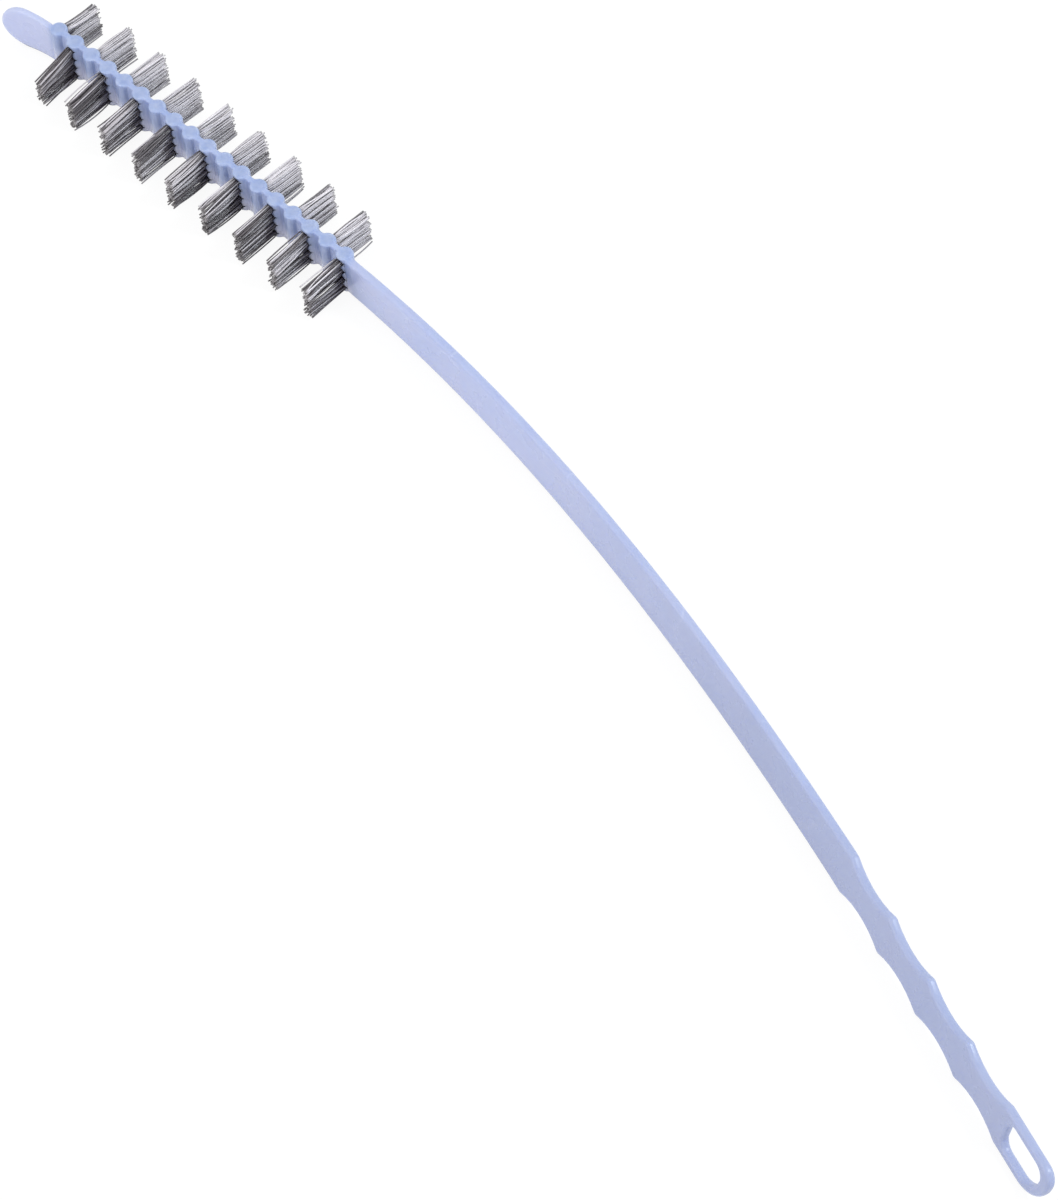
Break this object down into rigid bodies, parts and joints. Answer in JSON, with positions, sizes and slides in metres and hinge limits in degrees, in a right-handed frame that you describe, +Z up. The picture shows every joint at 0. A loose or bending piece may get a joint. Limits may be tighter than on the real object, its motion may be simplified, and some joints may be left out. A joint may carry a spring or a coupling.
{
  "type": "crevice brush",
  "caption": "Long flat bent strip handle with a scalloped grip and hanging loop, and a narrow head with bristle tufts on both sides and a spatula tongue, for cleaning gaps.",
  "frame": {"origin": "middle of the bounding box, on the surface that the brush lies on with its narrow edge down", "axes": "+X from the tongue to the loop along the head, +Y to the back of the head, away from the bend, +Z up the width of the strip"},
  "size_m": [0.3574, 0.0712, 0.0116],
  "materials": {
    "moulded_plastic": "satin moulded",
    "bristle": "grey filaments",
    "anchor_wire": "drawn flat wire"
  },
  "bodies": {
    "root": {"moulded_body": "moulded_plastic", "front_tufts_01": "bristle", "front_tufts_02": "bristle", "front_tufts_03": "bristle", "front_tufts_04": "bristle", "front_tufts_05": "bristle", "front_tufts_06": "bristle", "front_tufts_07": "bristle", "front_tufts_08": "bristle", "front_tufts_09": "bristle", "back_tufts_01": "bristle", "back_tufts_02": "bristle", "back_tufts_03": "bristle", "back_tufts_04": "bristle", "back_tufts_05": "bristle", "back_tufts_06": "bristle", "back_tufts_07": "bristle", "back_tufts_08": "bristle", "back_tufts_09": "bristle", "front_anchors": "anchor_wire", "back_anchors": "anchor_wire"}
  },
  "joints": []
}
